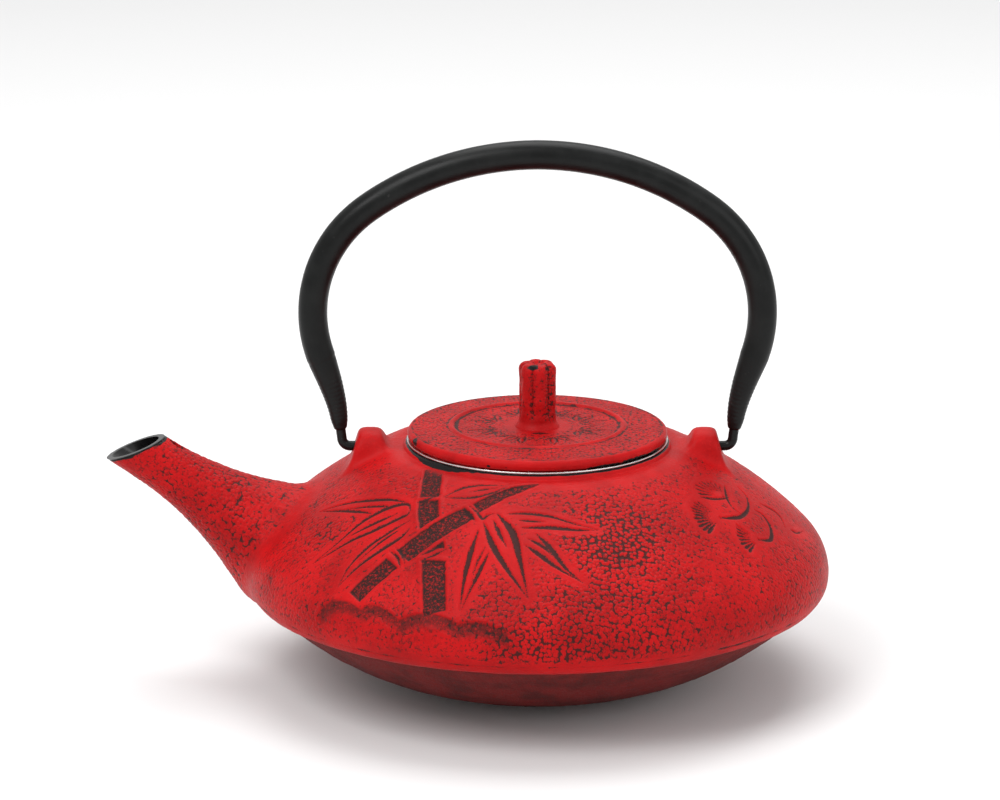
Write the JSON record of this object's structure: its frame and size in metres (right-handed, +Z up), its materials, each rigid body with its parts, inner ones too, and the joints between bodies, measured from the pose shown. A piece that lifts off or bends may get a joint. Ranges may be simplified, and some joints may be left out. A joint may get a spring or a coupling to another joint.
{
  "type": "cast iron teapot",
  "caption": "Low lens-shaped cast iron teapot with a tapering spout, lift-off lid with a ribbed knob, folding bail handle and a removable steel infuser.",
  "frame": {"origin": "centre of the foot ring, on the surface that the teapot stands on", "axes": "+Z up; the spout points along -X and the handle's plane is XZ; +Y is the side away from a viewer who has the spout at the left"},
  "size_m": [0.2347, 0.19, 0.1781],
  "materials": {
    "red_cast_iron": "dry-brushed red enamel paint over black cast iron, pebbled and matt",
    "black_enamel": "glossy black vitreous enamel",
    "black_handle_paint": "satin black paint on steel tube",
    "black_hook_steel": "semi-gloss black steel rod",
    "stainless_steel": "spun stainless steel sheet",
    "stainless_mesh": "fine woven stainless mesh"
  },
  "bodies": {
    "pot": {"pot_base": "red_cast_iron", "pot_shoulder": "red_cast_iron", "pot_lip": "red_cast_iron", "spout": "red_cast_iron", "ear_front": "red_cast_iron", "ear_back": "red_cast_iron", "pot_enamel": "black_enamel", "spout_enamel": "black_enamel"},
    "handle": {"handle_tube": "black_handle_paint", "handle_hook_front": "black_hook_steel", "handle_hook_back": "black_hook_steel"},
    "infuser": {"infuser_rim": "stainless_steel", "infuser_mesh_wall": "stainless_mesh", "infuser_bottom_band": "stainless_steel", "infuser_mesh_floor": "stainless_mesh"},
    "lid": {"lid": "red_cast_iron", "lid_knob": "red_cast_iron"}
  },
  "joints": [
    {"name": "handle_swing", "type": "hinge", "parent": "pot", "child": "handle", "pos_m": [0, 0, 0.0772], "axis": [1, 0, 0], "range_deg": [-104, 104]},
    {"name": "infuser_lift", "type": "slide", "parent": "pot", "child": "infuser", "axis": [0, 0, 1], "range_m": [0, 0.052]},
    {"name": "lid_lift", "type": "slide", "parent": "infuser", "child": "lid", "axis": [0, 0, 1], "range_m": [0, 0.055]}
  ]
}
